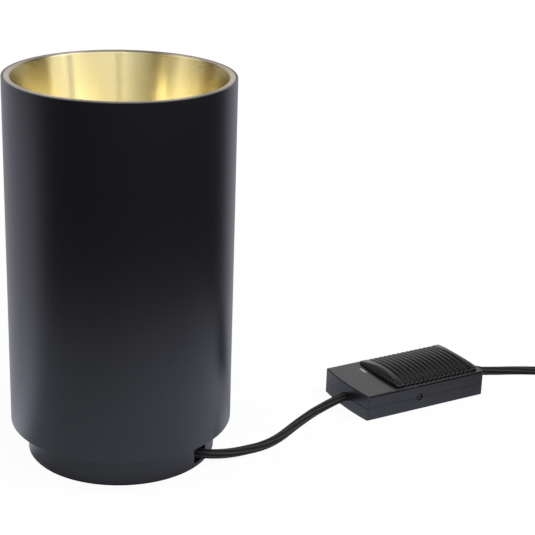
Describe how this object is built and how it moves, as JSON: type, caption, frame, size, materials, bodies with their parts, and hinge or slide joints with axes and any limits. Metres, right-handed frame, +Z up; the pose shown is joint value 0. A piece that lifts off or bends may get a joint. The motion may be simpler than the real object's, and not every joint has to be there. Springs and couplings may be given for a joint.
{
  "type": "floor lamp",
  "caption": "Cylindrical floor-standing uplighter with a brass reflector, a recessed weighted base, a textile cord, an in-line foot dimmer with a ribbed sliding pad, and a flat plug.",
  "frame": {"origin": "on the floor, on the axis of the tube", "axes": "+Z up along the tube's axis, +X towards the side where the cord leaves the base, +Y away from the viewer"},
  "size_m": [0.5061, 0.2206, 0.26],
  "materials": {
    "black_paint": "satin",
    "spun_brass": "brushed",
    "ballast_iron": "raw",
    "black_rubber": "matte",
    "steel": "plated",
    "holder_plastic": "matte",
    "holder_ceramic": "matte",
    "contact_brass": "bright",
    "bulb_metal": "bright",
    "bulb_plastic": "frosted",
    "pale_plastic": "matte",
    "core_plastic": "smooth",
    "dimmer_plastic": "fine grain",
    "pad_plastic": "satin",
    "component_plastic": "matte",
    "board": "smooth",
    "choke_wire": "enamelled",
    "sink_aluminium": "raw",
    "capacitor_plastic": "smooth",
    "lens_plastic": "clear",
    "terminal_plastic": "matte",
    "textile": "braided",
    "tie_fabric": "woven",
    "plug_plastic": "satin"
  },
  "bodies": {
    "lamp": {"outer_tube": "black_paint", "tube_floor": "black_paint", "reflector": "spun_brass", "base_shell": "black_paint", "ballast": "ballast_iron", "bottom_plate": "black_paint", "foot_ring": "black_rubber", "base_screws": "steel", "centre_rod": "steel", "rod_nuts": "steel", "holder_cap": "holder_plastic", "holder_core": "holder_ceramic", "holder_shell": "holder_plastic", "holder_ring": "holder_plastic", "screw_sleeve": "contact_brass", "centre_contact": "contact_brass", "bulb_cap": "bulb_metal", "bulb_collar": "bulb_plastic", "bulb_globe": "bulb_plastic", "cord_grip": "black_rubber", "terminal_block": "pale_plastic", "cord_cores": "core_plastic", "inner_leads": "core_plastic", "dimmer_base": "dimmer_plastic", "dimmer_cover": "dimmer_plastic", "slide_pot": "component_plastic", "dimmer_board": "board", "trimmer_pot": "component_plastic", "choke": "choke_wire", "heat_sink": "sink_aluminium", "triac": "component_plastic", "fuse": "steel", "capacitor": "capacitor_plastic", "indicator_lamp": "lens_plastic", "indicator_lens": "lens_plastic", "dimmer_terminals": "terminal_plastic", "dimmer_leads": "core_plastic", "cord_clamps": "steel", "clamp_screws": "steel", "case_screws": "steel", "dimmer_feet": "black_rubber", "cord_lamp": "textile", "cord_mains": "textile", "cord_coil": "textile", "cord_tail": "textile", "coil_tie": "tie_fabric", "plug_body": "plug_plastic", "plug_boot": "plug_plastic", "plug_pins": "contact_brass"},
    "slider": {"slider_pad": "pad_plastic", "slider_carriage": "pale_plastic", "slider_screw": "steel", "pot_lever": "steel"},
    "set_point": {"trimmer_screw": "pad_plastic"}
  },
  "joints": [
    {"name": "pad_slide", "type": "slide", "parent": "lamp", "child": "slider", "axis": [-0.8607, -0.509, 0], "range_m": [0, 0.022]},
    {"name": "set_point_turn", "type": "hinge", "parent": "lamp", "child": "set_point", "pos_m": [0.21106, 0.07058, 0.01], "axis": [0.509, -0.8607, 0], "range_deg": [-135, 135]}
  ]
}
